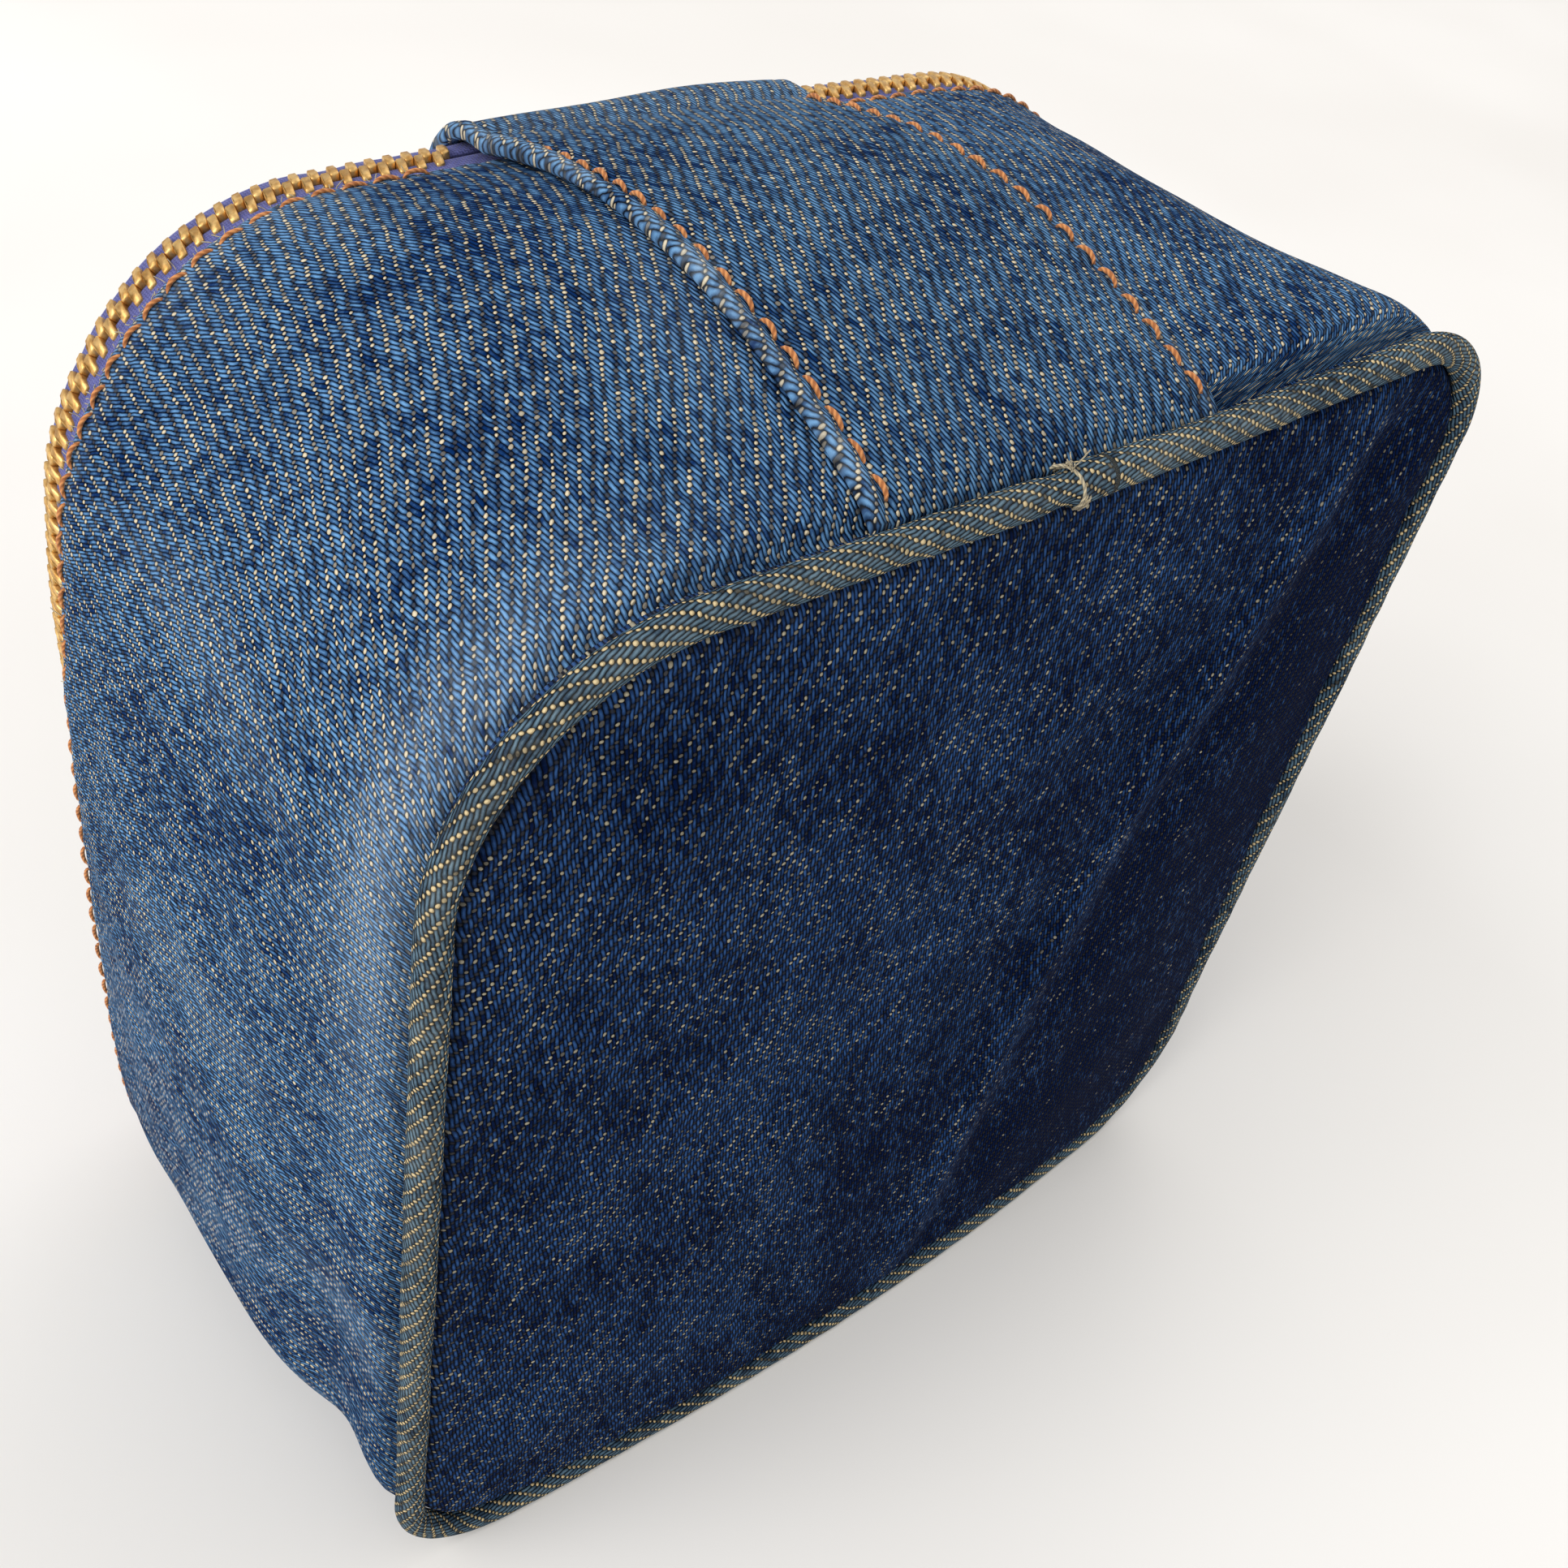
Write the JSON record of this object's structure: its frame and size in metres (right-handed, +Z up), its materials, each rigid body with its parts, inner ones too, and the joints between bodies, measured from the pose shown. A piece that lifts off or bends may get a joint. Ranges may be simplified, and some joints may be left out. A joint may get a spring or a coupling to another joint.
{
  "type": "zip-round denim case",
  "caption": "Boxy zip-round denim case with a piped base panel, padded walls, a hinge band and a lid opened by two zip sliders.",
  "frame": {"origin": "on the floor, under the centre of the whole case as it stands on the long wall opposite its hinge", "axes": "+Z up, from the resting wall to the hinge band; -Y out of the base panel; +Y out of the lid; +X to the right when facing the base panel"},
  "size_m": [0.1411, 0.0808, 0.1435],
  "materials": {
    "denim_wall": "mid-blue right-hand twill, washed, with cream weft specks",
    "denim_base": "dark indigo twill, slightly worn",
    "denim_piping": "bias-cut denim, worn along the top",
    "denim_lid": "mid-blue right-hand twill",
    "denim_band": "mid-blue twill, edges worn pale",
    "lining": "plain woven cotton",
    "padding": "soft foam interlining",
    "cord": "twisted cotton filler",
    "board": "thin stiffening board",
    "tape": "violet-blue woven zip tape",
    "thread": "orange topstitch thread",
    "brass": "golden brass, slightly dulled"
  },
  "bodies": {
    "case": {"base_panel": "denim_base", "base_piping_cover": "denim_piping", "base_piping_cord": "cord", "base_board": "board", "base_lining": "lining", "base_seam_binding": "lining", "wall_gusset": "denim_wall", "wall_padding": "padding", "wall_lining": "lining", "hinge_band": "denim_band", "wall_zip_tape": "tape", "wall_zip_teeth": "brass", "wall_zip_stops": "brass", "rim_topstitch": "thread", "band_topstitch": "thread"},
    "lid": {"lid_panel": "denim_lid", "lid_padding": "padding", "lid_board": "board", "lid_lining": "lining", "lid_seam_binding": "lining", "lid_band": "denim_band", "lid_zip_tape": "tape", "lid_zip_teeth": "brass", "lid_zip_stops": "brass", "lid_topstitch": "thread"},
    "lower_slider": {"lower_slider": "brass", "lower_bridge": "brass"},
    "lower_pull": {"lower_pull": "brass"},
    "upper_slider": {"upper_slider": "brass", "upper_bridge": "brass"},
    "upper_pull": {"upper_pull": "brass"}
  },
  "joints": [
    {"name": "lid_hinge", "type": "hinge", "parent": "case", "child": "lid", "pos_m": [-0.00007, 0.0301, 0.1356], "axis": [1, 0, 0], "range_deg": [0, 110]},
    {"name": "lower_slide", "type": "slide", "parent": "case", "child": "lower_slider", "axis": [0, 0, -1], "range_m": [0, 0.02]},
    {"name": "lower_pull_hinge", "type": "hinge", "parent": "lower_slider", "child": "lower_pull", "pos_m": [0.06897, 0.0301, 0.0615], "axis": [0, -1, 0], "range_deg": [0, 150]},
    {"name": "upper_slide", "type": "slide", "parent": "case", "child": "upper_slider", "axis": [0, 0, 1], "range_m": [0, 0.02]},
    {"name": "upper_pull_hinge", "type": "hinge", "parent": "upper_slider", "child": "upper_pull", "pos_m": [0.06897, 0.0301, 0.0725], "axis": [0, 1, 0], "range_deg": [0, 150]}
  ]
}
